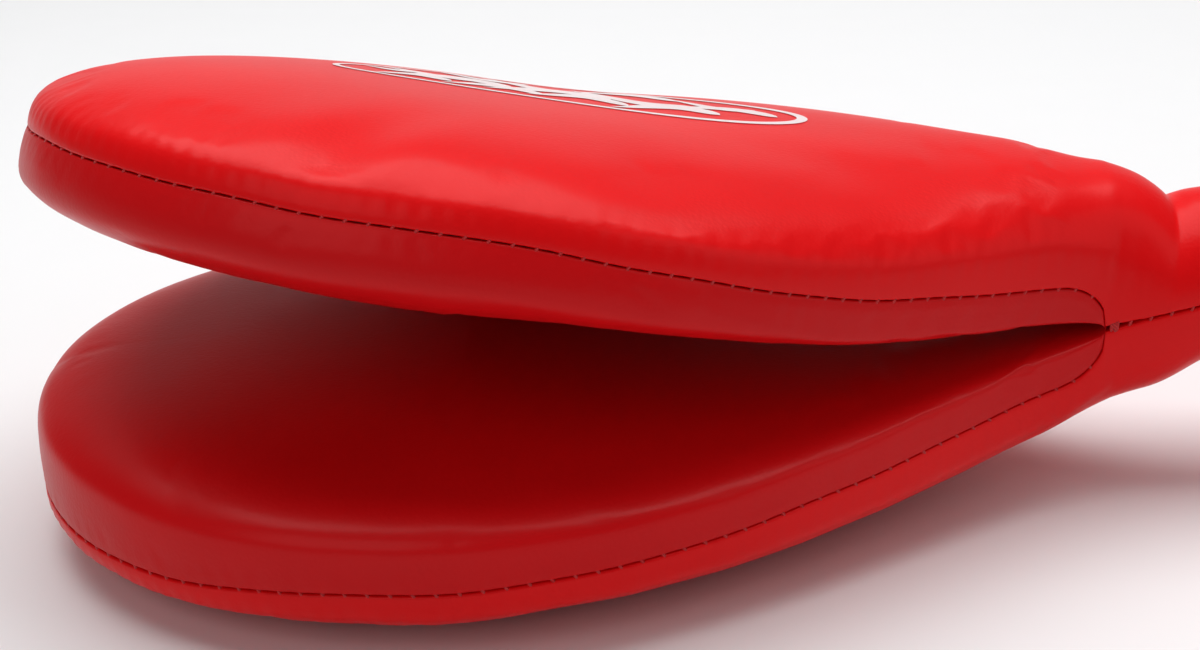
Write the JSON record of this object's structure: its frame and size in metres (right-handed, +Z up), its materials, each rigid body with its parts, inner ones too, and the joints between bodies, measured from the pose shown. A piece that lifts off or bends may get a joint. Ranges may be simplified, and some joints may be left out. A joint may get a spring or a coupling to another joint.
{
  "type": "double kick paddle",
  "caption": "Hand-held martial arts target with twin padded teardrop leaves that flex on one padded round grip, with a webbing wrist loop at the butt.",
  "frame": {"origin": "on the floor, at the middle of the flat that the lower leaf rests on", "axes": "+X along the object from the leaf tips towards the butt of the handle, +Y across the leaves, +Z up"},
  "size_m": [0.4096, 0.1893, 0.1129],
  "materials": {
    "red_leather": "glossy synthetic leather, fine grain",
    "red_leather_inner": "glossy synthetic leather, fine grain",
    "red_thread": "bonded polyester thread",
    "dense_foam": "closed-cell EVA foam, matt",
    "soft_foam": "PE foam, matt",
    "stiffener_plastic": "polypropylene sheet",
    "rivet_steel": "zinc plated",
    "white_ink": "screen-printed ink",
    "black_webbing": "woven elastic webbing"
  },
  "bodies": {
    "lower_leaf": {"lower_strike_cover": "red_leather", "lower_inner_cover": "red_leather_inner", "lower_strike_foam": "dense_foam", "lower_inner_foam": "soft_foam", "lower_stiffener": "stiffener_plastic", "lower_root_foam": "dense_foam", "lower_edge_thread": "red_thread"},
    "handle": {"handle_core": "stiffener_plastic", "upper_tongue": "stiffener_plastic", "lower_tongue": "stiffener_plastic", "core_rivets": "rivet_steel", "neck_foam": "dense_foam", "grip_foam": "dense_foam", "grip_cover_upper": "red_leather", "grip_cover_lower": "red_leather", "grip_thread_near": "red_thread", "grip_thread_far": "red_thread", "crotch_tacks": "red_thread", "butt_plug": "stiffener_plastic", "butt_disc": "red_leather", "butt_thread": "red_thread", "loop_tab": "black_webbing"},
    "upper_leaf": {"upper_strike_cover": "red_leather", "upper_inner_cover": "red_leather_inner", "upper_strike_foam": "dense_foam", "upper_inner_foam": "soft_foam", "upper_stiffener": "stiffener_plastic", "upper_root_foam": "dense_foam", "upper_edge_thread": "red_thread", "upper_face_print": "white_ink"},
    "wrist_loop": {"wrist_loop": "black_webbing", "loop_tack": "red_thread"}
  },
  "joints": [
    {"name": "lower_leaf_flex", "type": "hinge", "parent": "lower_leaf", "child": "handle", "pos_m": [0.15226, 0, 0.03085], "axis": [0, 1, 0], "range_deg": [-1, 20], "stiffness_Nm_per_rad": 8},
    {"name": "upper_leaf_flex", "type": "hinge", "parent": "handle", "child": "upper_leaf", "pos_m": [0.1519, 0, 0.05681], "axis": [0, 1, 0], "range_deg": [-1, 30], "stiffness_Nm_per_rad": 6},
    {"name": "wrist_loop_swing", "type": "hinge", "parent": "handle", "child": "wrist_loop", "pos_m": [0.29527, 0, 0.07046], "axis": [0, 1, 0], "range_deg": [-75, 0]}
  ]
}
